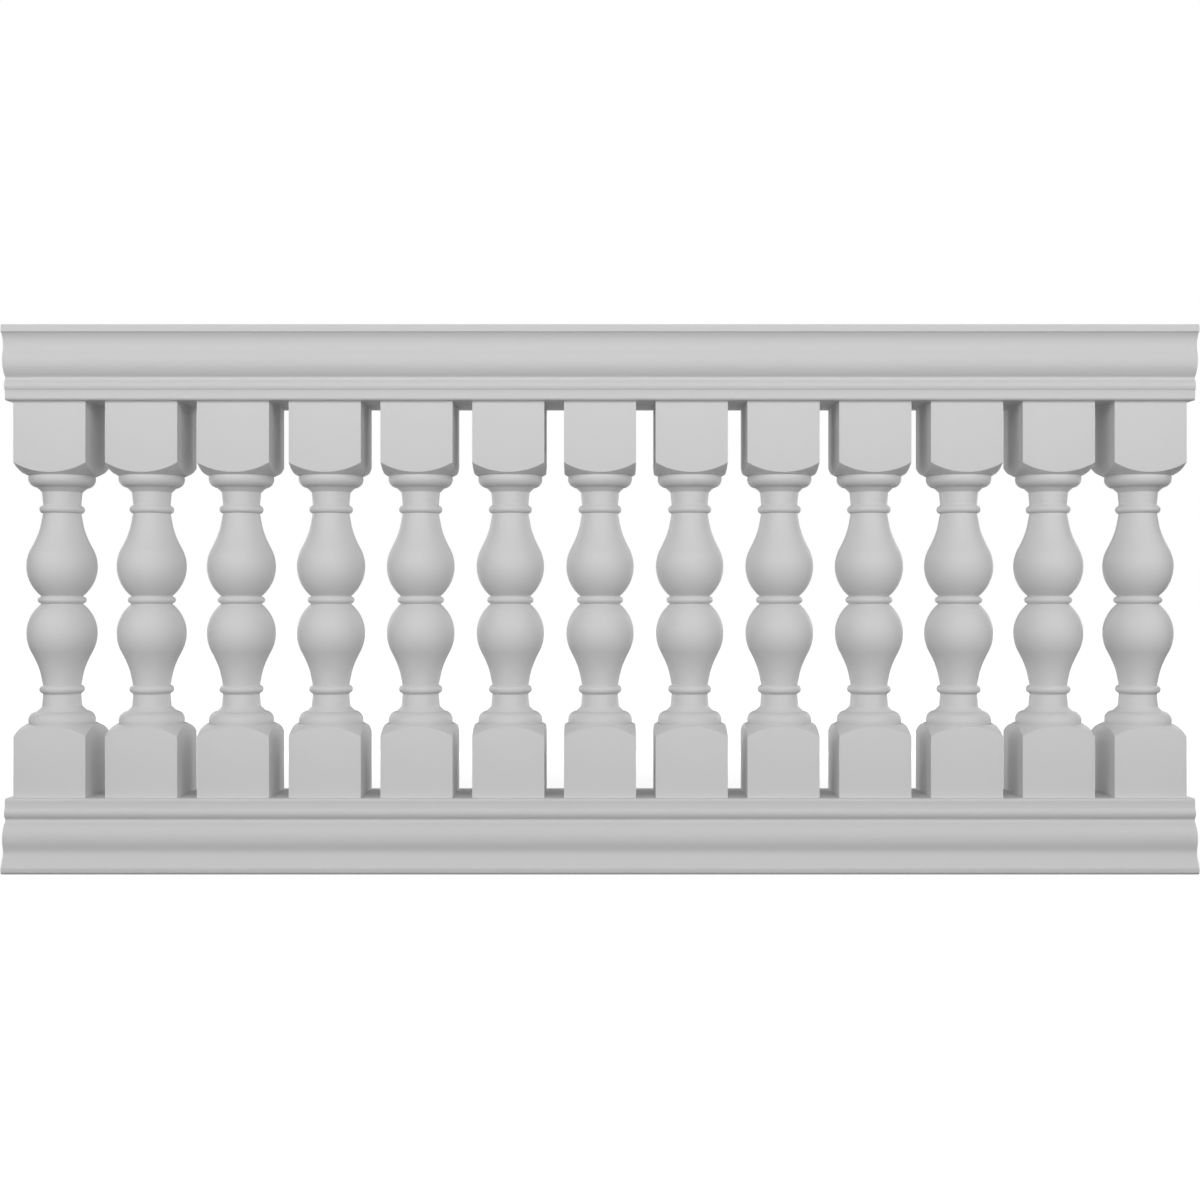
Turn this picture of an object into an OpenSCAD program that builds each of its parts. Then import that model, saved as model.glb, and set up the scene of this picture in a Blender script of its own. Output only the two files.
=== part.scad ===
// Fiberglass balustrade bay: two moulded rails with a row of turned balusters between them.
// Millimetres. X runs along the bay, -Y is the front, and Z = 0 is the floor that it stands on.

/* [Bay] */
// Height of the bay, from the floor to the top of the top rail
overall_h = 914; // [880:1:1200]
// Number of balusters
baluster_count = 13; // [2:1:40]
// Distance between the centres of neighbouring balusters
pitch = 154; // [124:1:220]
// How far a rail runs on past the outer face of the last plinth
end_margin = 10; // [2:1:80]

/* [Rail moulding] */
// Height of each rail
rail_h = 124; // [112:1:170]
// Thickness of a rail's laminate wall
rail_wall = 5; // [3:0.5:9]
// How far the fascia at the baluster seat stands out past a plinth's face
fascia_out = 10.5; // [8:0.5:14]
// Height of the fascia
fascia_h = 17; // [12:1:20]
// Height of the half-round bead beside the fascia
bead_h = 16; // [12:1:20]
// How far the bead stands out past a plinth's face
bead_out = 14; // [12.5:0.5:18]
// Height of the sunk quirk beside the bead
quirk_h = 6; // [5:1:9]
// Height of the ovolo, the big swelling in the middle
ovolo_h = 40; // [38:1:48]
// How far the ovolo stands out past a plinth's face
ovolo_out = 22; // [18:0.5:26]
// Height of the plain nosing at the rail's outer edge
nosing_h = 12.5; // [10:0.5:18]
// How far the nosing stands out past a plinth's face
nosing_out = 28.5; // [26:0.5:40]
// Radius of the rounded edge of the nosing
nosing_round = 5; // [2:0.5:7]

/* [End caps] */
// Thickness of the plate that closes each rail end
cap_t = 6; // [3:0.5:20]
// Bond line left between a plate and the rail's wall
bond = 0.3; // [0.1:0.1:0.8]

/* [Baluster plinths] */
// Width of the square plinths, front and side
plinth_w = 121; // [118:1:150]
// Height of a plinth at its corners
plinth_h = 101; // [60:1:110]
// Height of the turned shoulder between a plinth's corners and its ledge
shoulder_h = 19.5; // [12:0.5:24]
// Width of the plain edge that the shoulder leaves around the ledge
ledge_inset = 1.8; // [1:0.1:4]

/* [Baluster turning] */
// Outer radius of the big torus beside the ledge
torus_r = 54.8; // [50:0.1:56]
// Radius of the torus's rounding
torus_round = 15; // [12:0.1:16]
// Radius of the neck where it leaves the torus
neck_r = 32.7; // [28:0.1:36]
// Length from the ledge to the middle of the neck's bead
neck_length = 58.5; // [50:0.5:70]
// Outer radius of the neck's bead
neck_bead_r = 37; // [34:0.1:44]
// Radius of the bead's rounding
neck_bead_round = 6.7; // [4:0.1:8]
// Largest radius of each vase belly
belly_r = 57.8; // [50:0.1:58.5]
// Height of the belly's widest place from the middle of the baluster
belly_z = 57.5; // [50:0.5:62]
// Radius of the belly's curve
belly_curve = 66; // [60:1:70]
// Outer radius of the ring at the middle
ring_r = 39.8; // [36:0.1:44]
// Radius of the ring's rounding
ring_round = 5.6; // [4:0.1:6.5]
// How far the ring and the bellies sit below the middle of the baluster
middle_drop = 1; // [0:0.1:2]

/* [Hidden] */
TURNING_FACETS = 96;
GELCOAT = "gainsboro";
LAMINATE = "lightgray";

// The bay
rail_length = (baluster_count - 1) * pitch + plinth_w + 2 * end_margin;
baluster_h = overall_h - 2 * rail_h;
half_h = baluster_h / 2;
half_w = plinth_w / 2;

// The rail's section: distances out from the middle plane, and heights from the baluster seat
seat_round = 4.5;
fascia_y = half_w + fascia_out;
fascia_hollow = 0.4;
bead_y = half_w + bead_out;
bead_swell = 3;
bead_foot = [bead_y - 2, fascia_h + 0.3];
bead_end = [bead_y - 3.8, fascia_h + bead_h];
quirk_y = bead_y - 5.4;
ovolo_y = half_w + ovolo_out;
ovolo_z = fascia_h + bead_h + quirk_h;
ovolo_swell = 3.4;
ovolo_end_z = ovolo_z + ovolo_h;
crown_z = ovolo_end_z - 12;
hollow_y = ovolo_y - 4;
hollow_z = ovolo_end_z + 11;
curve_run = 6;
nosing_y = half_w + nosing_out;
nosing_z = rail_h - nosing_h;

// The turning's fixed measures
ledge_r = half_w - ledge_inset;
blank_r = 0.75 * plinth_w;
torus_rise = 6.2;
torus_cut = asin(torus_rise / torus_round);
torus_axis_r = torus_r - torus_round;
cove_h = 6.8;
cove_round = 1;
flare_angle = 27.4;
belly_axis_r = belly_r - belly_curve;
flare_r = belly_axis_r + belly_curve * cos(flare_angle);
flare_z = belly_z + belly_curve * sin(flare_angle);
flare_run = 4;
waist_rise = 25;
waist = [flare_r - waist_rise * tan(flare_angle), flare_z + waist_rise];
neck_bead_axis_r = neck_bead_r - neck_bead_round;
neck_taper = 1.8;
shoulder_swell = 1.6;

function baluster_name(i) = str("baluster_", i < 10 ? "0" : "", i);

// Points of an arc about a centre, from one angle to another
function arc(centre, radius, from, to, steps) =
    [for (i = [0 : steps]) let (a = from + (to - from) * i / steps) centre + radius * [cos(a), sin(a)]];

// Points of a curve from a to b that leaves and arrives along the lines through the corner
function bend(a, corner, b, steps) =
    [for (i = [0 : steps]) let (t = i / steps) (1 - t) * (1 - t) * a + 2 * t * (1 - t) * corner + t * t * b];

// Points of a shallow curve from a to b that bulges to the right by the given rise, or to the left below 0
function bow(a, b, rise, steps) =
    let (run = b - a, side = [run[1], -run[0]] / norm(run)) bend(a, (a + b) / 2 + 2 * rise * side, b, steps);

// One side of the rail moulding, from its seat to the deepest line of its hollow
rail_side = concat(
    arc([fascia_y - seat_round, seat_round], seat_round, -90, 0, 4),
    bow([fascia_y, seat_round + 0.5], [bead_foot[0] - 0.6, fascia_h], -fascia_hollow, 4),
    bow(bead_foot, bead_end, bead_swell, 6),
    [[quirk_y, bead_end[1] + 2], [quirk_y, bead_end[1] + 4]],
    bow([quirk_y + 0.9, ovolo_z], [ovolo_y, crown_z - 1], ovolo_swell, 6),
    bend([ovolo_y, crown_z], [ovolo_y, crown_z + curve_run], [(ovolo_y + hollow_y) / 2, ovolo_end_z], 3),
    bend([(ovolo_y + hollow_y) / 2 - 0.3, ovolo_end_z + 1], [hollow_y, ovolo_end_z + curve_run],
         [hollow_y, hollow_z - 2], 3)
);

nosing = concat(
    [[nosing_y, nosing_z + 0.5]],
    arc([nosing_y - nosing_round, rail_h - nosing_round], nosing_round, 0, 90, 4)
);

// The top rail's side: its hollow curls out under the nosing
top_side = concat(
    rail_side,
    bend([hollow_y, hollow_z - 1], [hollow_y, nosing_z - 9], [nosing_y - 2, nosing_z - 0.7], 6),
    [[nosing_y - 0.5, nosing_z]],
    nosing
);

// The bottom rail's side: its hollow sweeps out into the base
bottom_side = concat(
    rail_side,
    bend([hollow_y + 0.1, hollow_z], [hollow_y + 0.6, hollow_z + 6], [nosing_y - 0.3, nosing_z + 1.5], 6),
    [[nosing_y, nosing_z + 2.4]],
    [for (k = [1 : len(nosing) - 1]) nosing[k]]
);

// One side moved in by a wall's thickness, and kept that far from the seat and from the outer face
function inner_side(side, inset) =
    [for (p = side) [p[0] - inset, min(max(p[1], inset), rail_h - inset)]];

// Extrudes a side and its mirror image along X
module moulding(side, length) {
    left = [for (i = [len(side) - 1 : -1 : 0]) [-side[i][0], side[i][1]]];
    rotate([90, 0, 90])
        linear_extrude(length, center = true)
            polygon(concat(side, left));
}

// A hollow rail with open ends and its baluster seat at Z = 0
module rail(side) {
    color(GELCOAT)
        difference() {
            moulding(side, rail_length);
            moulding(inner_side(side, rail_wall), rail_length + 2);
        }
}

// The plate that closes one end of a rail, where end is -1 at the left and 1 at the right
module end_cap(side, end) {
    color(LAMINATE)
        translate([end * (rail_length - cap_t) / 2, 0, 0])
            moulding(inner_side(side, rail_wall + bond), cap_t);
}

module at_top() {
    translate([0, 0, overall_h - rail_h])
        children();
}

module at_bottom() {
    translate([0, 0, rail_h])
        mirror([0, 0, 1])
            children();
}

// Half of the turned outline, from the ring to the seat: radius, and height from the ring's middle
function turned_half(top_z) =
    let (shoulder_z = top_z - plinth_h, ledge_z = shoulder_z - shoulder_h)
    let (torus_z = ledge_z - torus_rise, cove_z = torus_z - torus_round - 1.2, neck_z = cove_z - cove_h)
    let (neck_bead_z = ledge_z - neck_length)
    let (neck_foot = [neck_bead_axis_r + 1, neck_bead_z - neck_bead_round - 1.2])
    concat(
        arc([ring_r - ring_round, 0], ring_round, 0, 75, 4),
        arc([belly_axis_r, belly_z], belly_curve, -50.3, flare_angle, 12),
        bend([flare_r - flare_run * tan(flare_angle), flare_z + flare_run], waist, 0.5 * (waist + neck_foot), 5),
        [neck_foot],
        arc([neck_bead_axis_r, neck_bead_z], neck_bead_round, -79, 75, 8),
        [[neck_r - neck_taper, neck_bead_z + neck_bead_round + neck_taper]],
        bend([neck_r, neck_z - cove_round], [neck_r, neck_z], [neck_r, neck_z] + 0.7 * cove_round * [1, 1], 3),
        [[torus_axis_r, cove_z]],
        arc([torus_axis_r, torus_z], torus_round, -85, torus_cut, 8),
        [[ledge_r - 0.6, ledge_z]],
        bow([ledge_r, ledge_z + 0.6], [blank_r, shoulder_z + 3], shoulder_swell, 5),
        [[blank_r, top_z]]
    );

// A square blank that is turned round everywhere but at its two plinths
module baluster(i) {
    upper = turned_half(half_h + middle_drop);
    lower = turned_half(half_h - middle_drop);
    lower_down = [for (k = [len(lower) - 1 : -1 : 1]) [lower[k][0], -lower[k][1]]];
    color(GELCOAT)
        translate([(i - (baluster_count + 1) / 2) * pitch, 0, overall_h / 2])
            intersection() {
                cube([plinth_w, plinth_w, baluster_h], center = true);
                translate([0, 0, -middle_drop])
                    rotate_extrude($fn = TURNING_FACETS)
                        polygon(concat([[0, middle_drop - half_h]], lower_down, upper, [[0, half_h + middle_drop]]));
            }
}

module top_rail() {
    at_top() rail(top_side);
}

module bottom_rail() {
    at_bottom() rail(bottom_side);
}

module top_rail_end_cap(end) {
    at_top() end_cap(top_side, end);
}

module bottom_rail_end_cap(end) {
    at_bottom() end_cap(bottom_side, end);
}

top_rail();
bottom_rail();
top_rail_end_cap(-1);  // top_rail_left_end_cap
top_rail_end_cap(1);  // top_rail_right_end_cap
bottom_rail_end_cap(-1);  // bottom_rail_left_end_cap
bottom_rail_end_cap(1);  // bottom_rail_right_end_cap
for (i = [1 : baluster_count])
    baluster(i);
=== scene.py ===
import math

import bmesh
import bpy
from mathutils import Matrix, Vector


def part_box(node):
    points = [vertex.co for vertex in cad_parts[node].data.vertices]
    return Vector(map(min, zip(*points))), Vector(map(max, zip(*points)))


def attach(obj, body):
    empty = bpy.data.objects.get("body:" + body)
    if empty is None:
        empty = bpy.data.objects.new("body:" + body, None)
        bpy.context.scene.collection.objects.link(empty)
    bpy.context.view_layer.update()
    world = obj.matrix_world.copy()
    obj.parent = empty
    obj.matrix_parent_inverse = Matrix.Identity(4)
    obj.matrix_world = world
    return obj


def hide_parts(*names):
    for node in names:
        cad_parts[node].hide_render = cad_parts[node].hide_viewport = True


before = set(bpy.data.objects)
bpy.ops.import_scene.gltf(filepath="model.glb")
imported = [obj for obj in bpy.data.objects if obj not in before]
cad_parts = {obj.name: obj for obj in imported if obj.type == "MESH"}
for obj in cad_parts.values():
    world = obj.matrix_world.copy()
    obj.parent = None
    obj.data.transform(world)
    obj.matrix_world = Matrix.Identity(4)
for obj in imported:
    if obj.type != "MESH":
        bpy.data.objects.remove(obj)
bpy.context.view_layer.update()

mm = 0.001  # sizes below are in millimetres, and the scene is in metres


# outlines: lists of (distance out, height) in millimetres

def arc(centre, radius, start, end, steps):
    angles = [math.radians(start + (end - start) * k / steps) for k in range(steps + 1)]
    return [(centre[0] + radius * math.cos(a), centre[1] + radius * math.sin(a)) for a in angles]


def bend(a, corner, b, steps):  # leaves a and reaches b along the lines through the corner
    shares = [k / steps for k in range(steps + 1)]
    return [tuple((1 - t) ** 2 * a[i] + 2 * t * (1 - t) * corner[i] + t * t * b[i] for i in (0, 1))
            for t in shares]


def bow(a, b, rise, steps):  # shallow curve that bulges to the right of a to b, or to the left below 0
    run = Vector((b[0] - a[0], b[1] - a[1]))
    side = Vector((run.y, -run.x)).normalized() * 2 * rise
    corner = ((a[0] + b[0]) / 2 + side.x, (a[1] + b[1]) / 2 + side.y)
    return bend(a, corner, b, steps)


def softened(outline, radius, steps=3, sharpest=25):  # rounds each corner that turns by more than sharpest
    points = [Vector(p) for p in outline]
    out = [points[0]]
    for before, here, after in zip(points, points[1:], points[2:]):
        back, on = before - here, after - here
        if math.degrees(math.pi - back.angle(on)) < sharpest:
            out.append(here)
            continue
        reach = min(radius, back.length * 0.45, on.length * 0.45)
        start, end = here + back.normalized() * reach, here + on.normalized() * reach
        out += [Vector(p) for p in bend(start, here, end, steps)]
    return out + [points[-1]]


# shared mesh work

def addChain(bm, points, place):  # a row of joined edges through the points
    verts = [bm.verts.new(place(p)) for p in points]
    return verts, [bm.edges.new(pair) for pair in zip(verts, verts[1:])]


def finishPiece(name, bm, nodeName, material, sharpAngle=32):
    bmesh.ops.remove_doubles(bm, verts=bm.verts, dist=1e-6)
    bmesh.ops.recalc_face_normals(bm, faces=bm.faces)
    for face in bm.faces:
        face.smooth = True
    for edge in bm.edges:
        edge.smooth = edge.calc_face_angle(0) < math.radians(sharpAngle)
    mesh = bpy.data.meshes.new(name)
    bm.to_mesh(mesh)
    bm.free()
    mesh.materials.append(material)
    piece = bpy.data.objects.new(name, mesh)
    bpy.context.scene.collection.objects.link(piece)
    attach(piece, "root")
    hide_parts(nodeName)
    return piece


# camera: level, square on, its axis a hair below the middle of the bay

cameraSetup = {"lens": 44.73, "distance": 2.5016, "height": 0.4559}


def addCamera():
    low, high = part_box("baluster_07")
    data = bpy.data.cameras.new("camera")
    data.lens = cameraSetup["lens"]
    data.sensor_width = 36
    data.sensor_fit = "HORIZONTAL"
    data.clip_start, data.clip_end = 0.05, 200
    camera = bpy.data.objects.new("camera", data)
    camera.location = (0, low.y - cameraSetup["distance"], cameraSetup["height"])
    camera.rotation_euler = (math.radians(90), 0, 0)
    bpy.context.scene.collection.objects.link(camera)
    bpy.context.scene.camera = camera
    print("camera placed")


# materials

def newMaterial(name):
    material = bpy.data.materials.new(name)
    material.use_nodes = True
    nodes, links = material.node_tree.nodes, material.node_tree.links
    return material, nodes, links, nodes["Principled BSDF"]


def addNode(nodes, kind, **values):
    node = nodes.new(kind)
    for key, value in values.items():
        if key in node.inputs:
            node.inputs[key].default_value = value
        else:
            setattr(node, key, value)
    return node


# painted shade: the rails' grey is set darker and the balusters' lighter than one gelcoat would be, so that
# the light on them evens out
gelcoatLook = {
    "grey": {"rail": 0.642, "baluster": 0.672}, "spread": 0.006, "cloudScale": 5.0, "roughness": 0.55,
    "peelScale": 420.0, "peelDepth": 0.00003, "peelStrength": 0.35,
}


def gelcoatMaterial(shadedCopy):  # one gelcoat in two tones that are painted shade: the rails are painted darker and the balusters lighter, to even out the light on them
    look = gelcoatLook
    grey = look["grey"][shadedCopy]
    material, nodes, links, shader = newMaterial(shadedCopy + "Gelcoat")
    coords = nodes.new("ShaderNodeTexCoord")
    cloud = addNode(nodes, "ShaderNodeTexNoise", Scale=look["cloudScale"], Detail=4.0, Roughness=0.55)
    ramp = nodes.new("ShaderNodeMapRange")
    ramp.inputs["To Min"].default_value = grey - look["spread"]
    ramp.inputs["To Max"].default_value = grey + look["spread"]
    links.new(coords.outputs["Object"], cloud.inputs["Vector"])
    links.new(cloud.outputs["Fac"], ramp.inputs["Value"])
    links.new(ramp.outputs["Result"], shader.inputs["Base Color"])
    peel = addNode(nodes, "ShaderNodeTexNoise", Scale=look["peelScale"], Detail=2.0)
    bump = addNode(nodes, "ShaderNodeBump", Strength=look["peelStrength"], Distance=look["peelDepth"])
    links.new(coords.outputs["Object"], peel.inputs["Vector"])
    links.new(peel.outputs["Fac"], bump.inputs["Height"])
    links.new(bump.outputs["Normal"], shader.inputs["Normal"])
    shader.inputs["Roughness"].default_value = look["roughness"]
    return material


plateLook = {"grey": 0.52, "darker": 0.02, "lighter": 0.03, "strandScale": 160.0,
             "strandWidth": 0.3, "roughness": 0.7}


def plateMaterial():
    material, nodes, links, shader = newMaterial("laminatePlate")
    coords = nodes.new("ShaderNodeTexCoord")
    strands = addNode(nodes, "ShaderNodeTexVoronoi", feature="DISTANCE_TO_EDGE",
                      Scale=plateLook["strandScale"])
    ramp = nodes.new("ShaderNodeMapRange")
    ramp.inputs["From Max"].default_value = plateLook["strandWidth"]
    ramp.inputs["To Min"].default_value = plateLook["grey"] - plateLook["darker"]
    ramp.inputs["To Max"].default_value = plateLook["grey"] + plateLook["lighter"]
    links.new(coords.outputs["Object"], strands.inputs["Vector"])
    links.new(strands.outputs["Distance"], ramp.inputs["Value"])
    links.new(ramp.outputs["Result"], shader.inputs["Base Color"])
    shader.inputs["Roughness"].default_value = plateLook["roughness"]
    return material


# rails: a hollow moulding of one section, the same at the front and the back

railShape = {
    "wall": 5, "seatRound": 4.5, "fasciaOut": 10.5, "fasciaHeight": 17, "fasciaHollow": 0.4,
    "beadOut": 14, "beadHeight": 16, "beadSwell": 3, "quirkHeight": 6,
    "ovoloOut": 22, "ovoloHeight": 40, "ovoloSwell": 3.4, "crownDrop": 12, "hollowOut": 18, "hollowRise": 11,
    "curveRun": 6, "nosingOut": 28.5, "nosingHeight": 12.5, "nosingRound": 5,
    "edgeRound": 0.8, "capBond": 0.3,
}


def railSide(halfPlinth, height, curled):  # from the baluster seat to the outer face
    s = railShape
    beadOut, run = s["beadOut"], s["curveRun"]
    beadZ = s["fasciaHeight"] + s["beadHeight"]
    ovoloZ = beadZ + s["quirkHeight"]
    turnZ = ovoloZ + s["ovoloHeight"]
    crownZ, hollowZ = turnZ - s["crownDrop"], turnZ + s["hollowRise"]
    nosingZ = height - s["nosingHeight"]
    turn = ((s["ovoloOut"] + s["hollowOut"]) / 2, turnZ)
    side = arc((s["fasciaOut"] - s["seatRound"], s["seatRound"]), s["seatRound"], -90, 0, 8)
    side += bow((s["fasciaOut"], s["seatRound"] + 0.5), (beadOut - 2.6, s["fasciaHeight"]),
                -s["fasciaHollow"], 8)
    side += bow((beadOut - 2, s["fasciaHeight"] + 0.3), (beadOut - 3.8, beadZ), s["beadSwell"], 14)
    side += bend((beadOut - 4.8, beadZ + 0.8), (beadOut - 5.8, beadZ + 3), (beadOut - 5.1, beadZ + 5), 4)
    side += bow((beadOut - 4.8, ovoloZ), (s["ovoloOut"], crownZ - 1), s["ovoloSwell"], 16)
    side += bend((s["ovoloOut"], crownZ), (s["ovoloOut"], crownZ + run), turn, 8)
    side += bend(turn, (s["hollowOut"], turnZ + run), (s["hollowOut"], hollowZ - 2), 8)[1:]
    if curled:
        curlEnd = (s["nosingOut"] - 2, nosingZ - 0.7)
        side += bend((s["hollowOut"], hollowZ - 1), (s["hollowOut"], nosingZ - 9), curlEnd, 12)
        side += [(s["nosingOut"] - 0.3, nosingZ), (s["nosingOut"], nosingZ + 0.3)]
    else:
        base = (s["nosingOut"] - 0.1, nosingZ + 1.8)
        side += bend((s["hollowOut"] + 0.1, hollowZ), (s["hollowOut"] + 0.6, hollowZ + 6), base, 12)
        side += [(s["nosingOut"], nosingZ + 2.8)]
    centre = (s["nosingOut"] - s["nosingRound"], height - s["nosingRound"])
    side += arc(centre, s["nosingRound"], 0, 90, 6)
    return [(halfPlinth + out, z) for out, z in side]


def railFrame(node):  # the seat's height, which way the rail grows from it, and the sizes it follows
    low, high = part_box(node)
    plinthLow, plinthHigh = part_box("baluster_07")
    upwards = low.z > plinthLow.z
    halfPlinth = (plinthHigh.y - plinthLow.y) / 2 / mm
    return low, high, upwards, halfPlinth, (high.z - low.z) / mm


def sectionPlacer(x, seatZ, growth):
    return lambda p: Vector((x, p[0] * mm, seatZ + growth * p[1] * mm))


def closedLoop(bm, side, place):
    points = list(side) + [(-y, z) for y, z in reversed(side)]
    verts, edges = addChain(bm, points, place)
    return edges + [bm.edges.new((verts[-1], verts[0]))]


def innerSide(side, inset, height):
    return [(y - inset, min(max(z, inset), height - inset)) for y, z in side]


def addRail(node, curled, material):
    low, high, upwards, halfPlinth, height = railFrame(node)
    seatZ, growth = (low.z, 1) if upwards else (high.z, -1)
    side = [tuple(p) for p in softened(railSide(halfPlinth, height, curled), railShape["edgeRound"])]
    bm = bmesh.new()
    place = sectionPlacer(low.x, seatZ, growth)
    outer = closedLoop(bm, side, place)
    inner = closedLoop(bm, innerSide(side, railShape["wall"], height), place)
    bmesh.ops.bridge_loops(bm, edges=outer + inner)
    grown = bmesh.ops.extrude_face_region(bm, geom=bm.faces[:])
    newVerts = [g for g in grown["geom"] if isinstance(g, bmesh.types.BMVert)]
    bmesh.ops.translate(bm, verts=newVerts, vec=(high.x - low.x, 0, 0))
    finishPiece("moulded_" + node, bm, node, material)
    print(node, "moulded")


def addEndCap(node, railNode, curled, material):
    railLow, railHigh, upwards, halfPlinth, height = railFrame(railNode)
    low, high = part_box(node)
    seatZ, growth = (railLow.z, 1) if upwards else (railHigh.z, -1)
    side = innerSide(railSide(halfPlinth, height, curled), railShape["wall"] + railShape["capBond"], height)
    bm = bmesh.new()
    edges = closedLoop(bm, side, sectionPlacer(low.x, seatZ, growth))
    bmesh.ops.edgeloop_fill(bm, edges=edges)
    grown = bmesh.ops.extrude_face_region(bm, geom=bm.faces[:])
    newVerts = [g for g in grown["geom"] if isinstance(g, bmesh.types.BMVert)]
    bmesh.ops.translate(bm, verts=newVerts, vec=(high.x - low.x, 0, 0))
    finishPiece("bonded_" + node, bm, node, material)


# balusters: turned from a square blank, so that the plinths keep its four faces

turning = {
    "steps": 96, "plinthHeight": 101, "shoulderHeight": 19.5, "shoulderSwell": 1.6, "ledgeInset": 1.8,
    "torusOut": 54.8, "torusRound": 15, "torusRise": 6.2, "coveHeight": 6.8, "coveDrop": 1.2, "coveRound": 1,
    "neckRadius": 32.7, "neckTaper": 1.8, "neckLength": 58.5, "beadOut": 37, "beadRound": 6.7,
    "bellyOut": 57.8, "bellyHeight": 57.5, "bellyCurve": 66, "flareAngle": 27.4, "waistRise": 25,
    "ringOut": 39.8, "ringRound": 5.6, "middleDrop": 1, "edgeRound": 0.5,
}


def turnedHalf(halfWidth, topZ):  # from the ring to the seat: radius, and height from the ring's middle
    t = turning
    blank = halfWidth * 1.5
    shoulderZ = topZ - t["plinthHeight"]
    ledgeZ = shoulderZ - t["shoulderHeight"]
    ledgeOut = halfWidth - t["ledgeInset"]
    torusAxis, torusZ = t["torusOut"] - t["torusRound"], ledgeZ - t["torusRise"]
    coveZ = torusZ - t["torusRound"] - t["coveDrop"]
    beadAxis, beadZ = t["beadOut"] - t["beadRound"], ledgeZ - t["neckLength"]
    slope = math.tan(math.radians(t["flareAngle"]))
    bellyAxis = t["bellyOut"] - t["bellyCurve"]
    belly = arc((bellyAxis, t["bellyHeight"]), t["bellyCurve"], -50.3, t["flareAngle"], 26)
    flareOut, flareZ = belly[-1]
    waist = (flareOut - t["waistRise"] * slope, flareZ + t["waistRise"])
    neckFoot = (beadAxis + 1, beadZ - t["beadRound"] - 1.2)
    neckEnd = tuple((a + b) / 2 for a, b in zip(waist, neckFoot))
    outline = arc((t["ringOut"] - t["ringRound"], 0), t["ringRound"], 0, 80, 7)
    outline += belly
    outline += bend((flareOut - 4 * slope, flareZ + 4), waist, neckEnd, 9)
    outline += [neckFoot] + arc((beadAxis, beadZ), t["beadRound"], -82, 75, 12)
    outline += [(t["neckRadius"] - t["neckTaper"], beadZ + t["beadRound"] + t["neckTaper"])]
    neckZ, reach = coveZ - t["coveHeight"], t["coveRound"]
    outline += bend((t["neckRadius"], neckZ - reach), (t["neckRadius"], neckZ),
                    (t["neckRadius"] + 0.7 * reach, neckZ + 0.7 * reach), 6)
    outline += [(torusAxis, coveZ)]
    cut = math.degrees(math.asin(t["torusRise"] / t["torusRound"]))
    outline += arc((torusAxis, torusZ), t["torusRound"], -85, cut, 16)
    outline += [(ledgeOut - 0.6, ledgeZ)]
    outline += bow((ledgeOut, ledgeZ + 0.6), (blank, shoulderZ + 3), t["shoulderSwell"], 8)
    return outline + [(blank, topZ)]


def cutToBlank(bm, halfWidth):  # four flat faces, each closed as it is cut
    for direction in (Vector((1, 0, 0)), Vector((-1, 0, 0)), Vector((0, 1, 0)), Vector((0, -1, 0))):
        everything = bm.verts[:] + bm.edges[:] + bm.faces[:]
        cut = bmesh.ops.bisect_plane(bm, geom=everything, dist=1e-7, plane_co=direction * halfWidth,
                                     plane_no=direction, clear_outer=True)
        edges = [g for g in cut["geom_cut"] if isinstance(g, bmesh.types.BMEdge)]
        bmesh.ops.edgeloop_fill(bm, edges=edges)


plinthFaceArea, sharpTurn, plinthReach, seatBand = 0.001, 0.3, 0.1, 0.0005  # square metres, radians, metres


def roundPlinthEdges(bm):  # the long corners, and the arcs where the shoulders run out on the faces
    flat = {f for f in bm.faces if abs(f.normal.z) < 1e-4 and max(abs(f.normal.x), abs(f.normal.y)) > 0.9999}
    flat = {f for f in flat if f.calc_area() > plinthFaceArea}
    edges = [e for e in bm.edges if any(f in flat for f in e.link_faces)
             and e.calc_face_angle(0) > sharpTurn]
    edges = [e for e in edges if min(len(f.edges) for f in e.link_faces) > 2
             and abs(e.verts[0].co.z) + abs(e.verts[1].co.z) > 2 * plinthReach]
    seat = max(v.co.z for v in bm.verts)  # the edges of the seats stay sharp
    edges = [e for e in edges if not all(seat - abs(v.co.z) < seatBand for v in e.verts)]
    bmesh.ops.bevel(bm, geom=edges, offset=turning["edgeRound"] * mm, segments=3, profile=0.5,
                    affect="EDGES", material=-1, clamp_overlap=True)


def balusterMesh(halfWidth, halfHeight):
    drop = turning["middleDrop"]
    upper = [(r, z - drop) for r, z in turnedHalf(halfWidth, halfHeight + drop)]
    lower = [(r, -z - drop) for r, z in turnedHalf(halfWidth, halfHeight - drop)]
    bm = bmesh.new()
    place = lambda p: Vector((p[0] * mm, 0, p[1] * mm))
    verts, edges = addChain(bm, lower[:0:-1] + upper, place)
    bmesh.ops.spin(bm, geom=verts + edges, cent=(0, 0, 0), axis=(0, 0, 1), angle=math.tau,
                   steps=turning["steps"], use_merge=True)
    for end in (1, -1):
        ring = [e for e in bm.edges if e.is_boundary and e.verts[0].co.z * end > 0]
        bmesh.ops.edgeloop_fill(bm, edges=ring)
    bmesh.ops.recalc_face_normals(bm, faces=bm.faces)
    cutToBlank(bm, halfWidth * mm)
    bmesh.ops.recalc_face_normals(bm, faces=bm.faces)
    roundPlinthEdges(bm)
    return bm


def addBalusters(material):
    names = sorted(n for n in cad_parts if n.startswith("baluster_"))
    low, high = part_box(names[0])
    pattern = balusterMesh((high.y - low.y) / 2 / mm, (high.z - low.z) / 2 / mm)
    for name in names:
        low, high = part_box(name)
        bm = pattern.copy()
        bmesh.ops.translate(bm, verts=bm.verts, vec=(low + high) / 2)
        finishPiece("turned_" + name, bm, name, material)
    pattern.free()
    print(len(names), "balusters turned")


# floor and lights

floorLook = {"half": 20, "bounce": 0.2, "shade": 0.5, "glowNear": 0.68, "near": 1.2, "far": 3.5}


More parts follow.
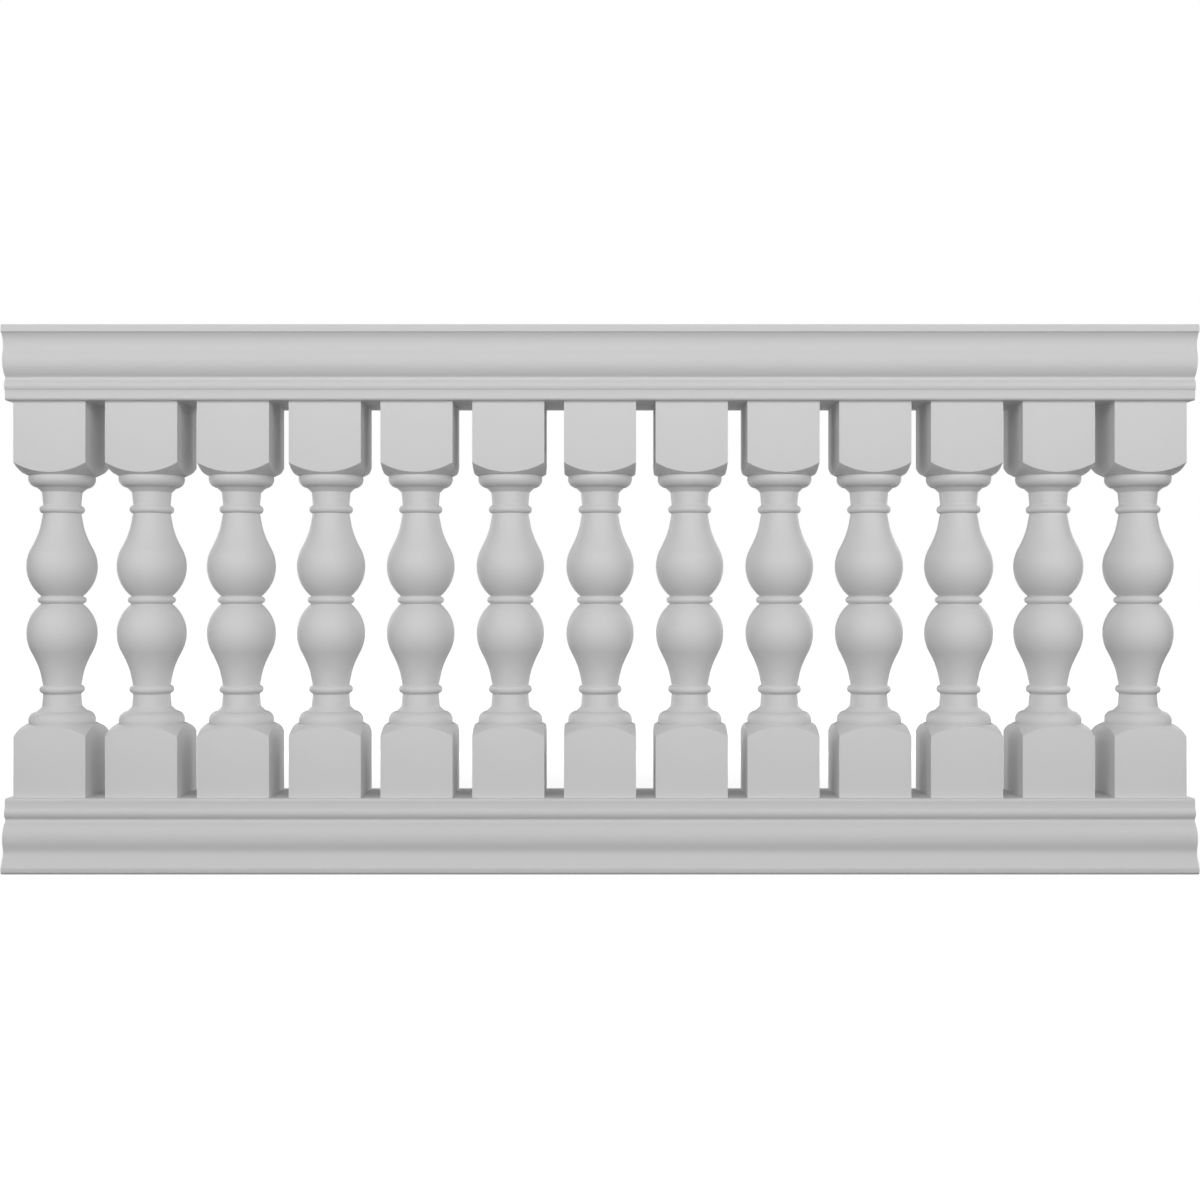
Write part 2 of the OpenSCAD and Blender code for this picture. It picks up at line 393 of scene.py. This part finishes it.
def addFloor():  # white to the camera but for the bay's shadow, and a little light goes back to the bay
    bpy.ops.mesh.primitive_plane_add(size=2 * floorLook["half"], location=(0, 0, 0))
    floor = bpy.context.object
    floor.name = "floor"
    material = bpy.data.materials.new("paleFloor")
    material.use_nodes = True
    nodes, links = material.node_tree.nodes, material.node_tree.links
    nodes.clear()
    coords = nodes.new("ShaderNodeTexCoord")
    away = addNode(nodes, "ShaderNodeVectorMath", operation="LENGTH")
    glowRamp = nodes.new("ShaderNodeMapRange")
    glowRamp.inputs["From Min"].default_value = floorLook["near"]
    glowRamp.inputs["From Max"].default_value = floorLook["far"]
    glowRamp.inputs["To Min"].default_value = floorLook["glowNear"]
    shadeTone, bounceTone = ((floorLook[key],) * 3 + (1,) for key in ("shade", "bounce"))
    shade = addNode(nodes, "ShaderNodeBsdfDiffuse", Color=shadeTone)
    glow = addNode(nodes, "ShaderNodeEmission", Color=(1, 1, 1, 1))
    seen = nodes.new("ShaderNodeAddShader")
    bounce = addNode(nodes, "ShaderNodeBsdfDiffuse", Color=bounceTone)
    path = nodes.new("ShaderNodeLightPath")
    mix = nodes.new("ShaderNodeMixShader")
    out = nodes.new("ShaderNodeOutputMaterial")
    links.new(coords.outputs["Object"], away.inputs[0])
    links.new(away.outputs["Value"], glowRamp.inputs["Value"])
    links.new(glowRamp.outputs["Result"], glow.inputs["Strength"])
    links.new(shade.outputs[0], seen.inputs[0])
    links.new(glow.outputs[0], seen.inputs[1])
    links.new(path.outputs["Is Camera Ray"], mix.inputs["Fac"])
    links.new(bounce.outputs[0], mix.inputs[1])
    links.new(seen.outputs[0], mix.inputs[2])
    links.new(mix.outputs[0], out.inputs["Surface"])
    floor.data.materials.append(material)


roomLight = 0.2
softboxes = {  # round the bay's middle: degrees from the front, degrees up, metres away, size and watts
    "key": {"turn": 0, "rise": 30, "away": 1.8, "size": (8, 0.6), "power": 39},
    "top": {"turn": 0, "rise": 90, "away": 1.2, "size": (8, 0.2), "power": 8},
    "front": {"turn": 0, "rise": 0, "away": 3.0, "size": (8, 1.0), "power": 52.5},
    "backLeft": {"turn": -135, "rise": 10, "away": 3.5, "size": (1.5, 2), "power": 25.5},
    "backRight": {"turn": 135, "rise": 10, "away": 3.5, "size": (1.5, 2), "power": 25.5},
    "backLow": {"turn": 180, "rise": -8, "away": 2.0, "size": (8, 0.3), "power": 16},
}


def addSoftbox(name, middle, turn, rise, away, size, power):
    turn, rise = math.radians(turn), math.radians(rise)
    outward = Vector((math.cos(rise) * math.sin(turn), -math.cos(rise) * math.cos(turn), math.sin(rise)))
    data = bpy.data.lights.new(name, "AREA")
    data.shape = "RECTANGLE"
    data.size, data.size_y = size
    data.energy = power
    softbox = bpy.data.objects.new(name, data)
    softbox.location = middle + outward * away
    softbox.rotation_euler = outward.to_track_quat("Z", "Y").to_euler()
    softbox.visible_camera = False
    bpy.context.scene.collection.objects.link(softbox)


def addLights():
    world = bpy.data.worlds.new("studio")
    bpy.context.scene.world = world
    world.use_nodes = True
    nodes, links = world.node_tree.nodes, world.node_tree.links
    nodes.clear()
    path = nodes.new("ShaderNodeLightPath")
    room = addNode(nodes, "ShaderNodeBackground", Color=(1, 1, 1, 1), Strength=roomLight)
    white = addNode(nodes, "ShaderNodeBackground", Color=(1, 1, 1, 1), Strength=1.0)
    mix = nodes.new("ShaderNodeMixShader")
    out = nodes.new("ShaderNodeOutputWorld")
    links.new(path.outputs["Is Camera Ray"], mix.inputs["Fac"])
    links.new(room.outputs[0], mix.inputs[1])
    links.new(white.outputs[0], mix.inputs[2])
    links.new(mix.outputs[0], out.inputs["Surface"])
    low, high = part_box("baluster_07")
    for name, box in softboxes.items():
        addSoftbox(name, (low + high) / 2, **box)
    print("floor laid and", len(softboxes), "softboxes hung")


addCamera()
# lit and shaded copies of one gelcoat: painted shade on the rails, painted light on the balusters
railShadedGelcoat, balusterLitGelcoat = gelcoatMaterial("rail"), gelcoatMaterial("baluster")
plate = plateMaterial()
for railNode, curled in (("top_rail", True), ("bottom_rail", False)):
    addRail(railNode, curled, railShadedGelcoat)
    for hand in ("left", "right"):
        addEndCap(railNode + "_" + hand + "_end_cap", railNode, curled, plate)
addBalusters(balusterLitGelcoat)
addFloor()
addLights()
bpy.context.scene.view_settings.view_transform = "Standard"
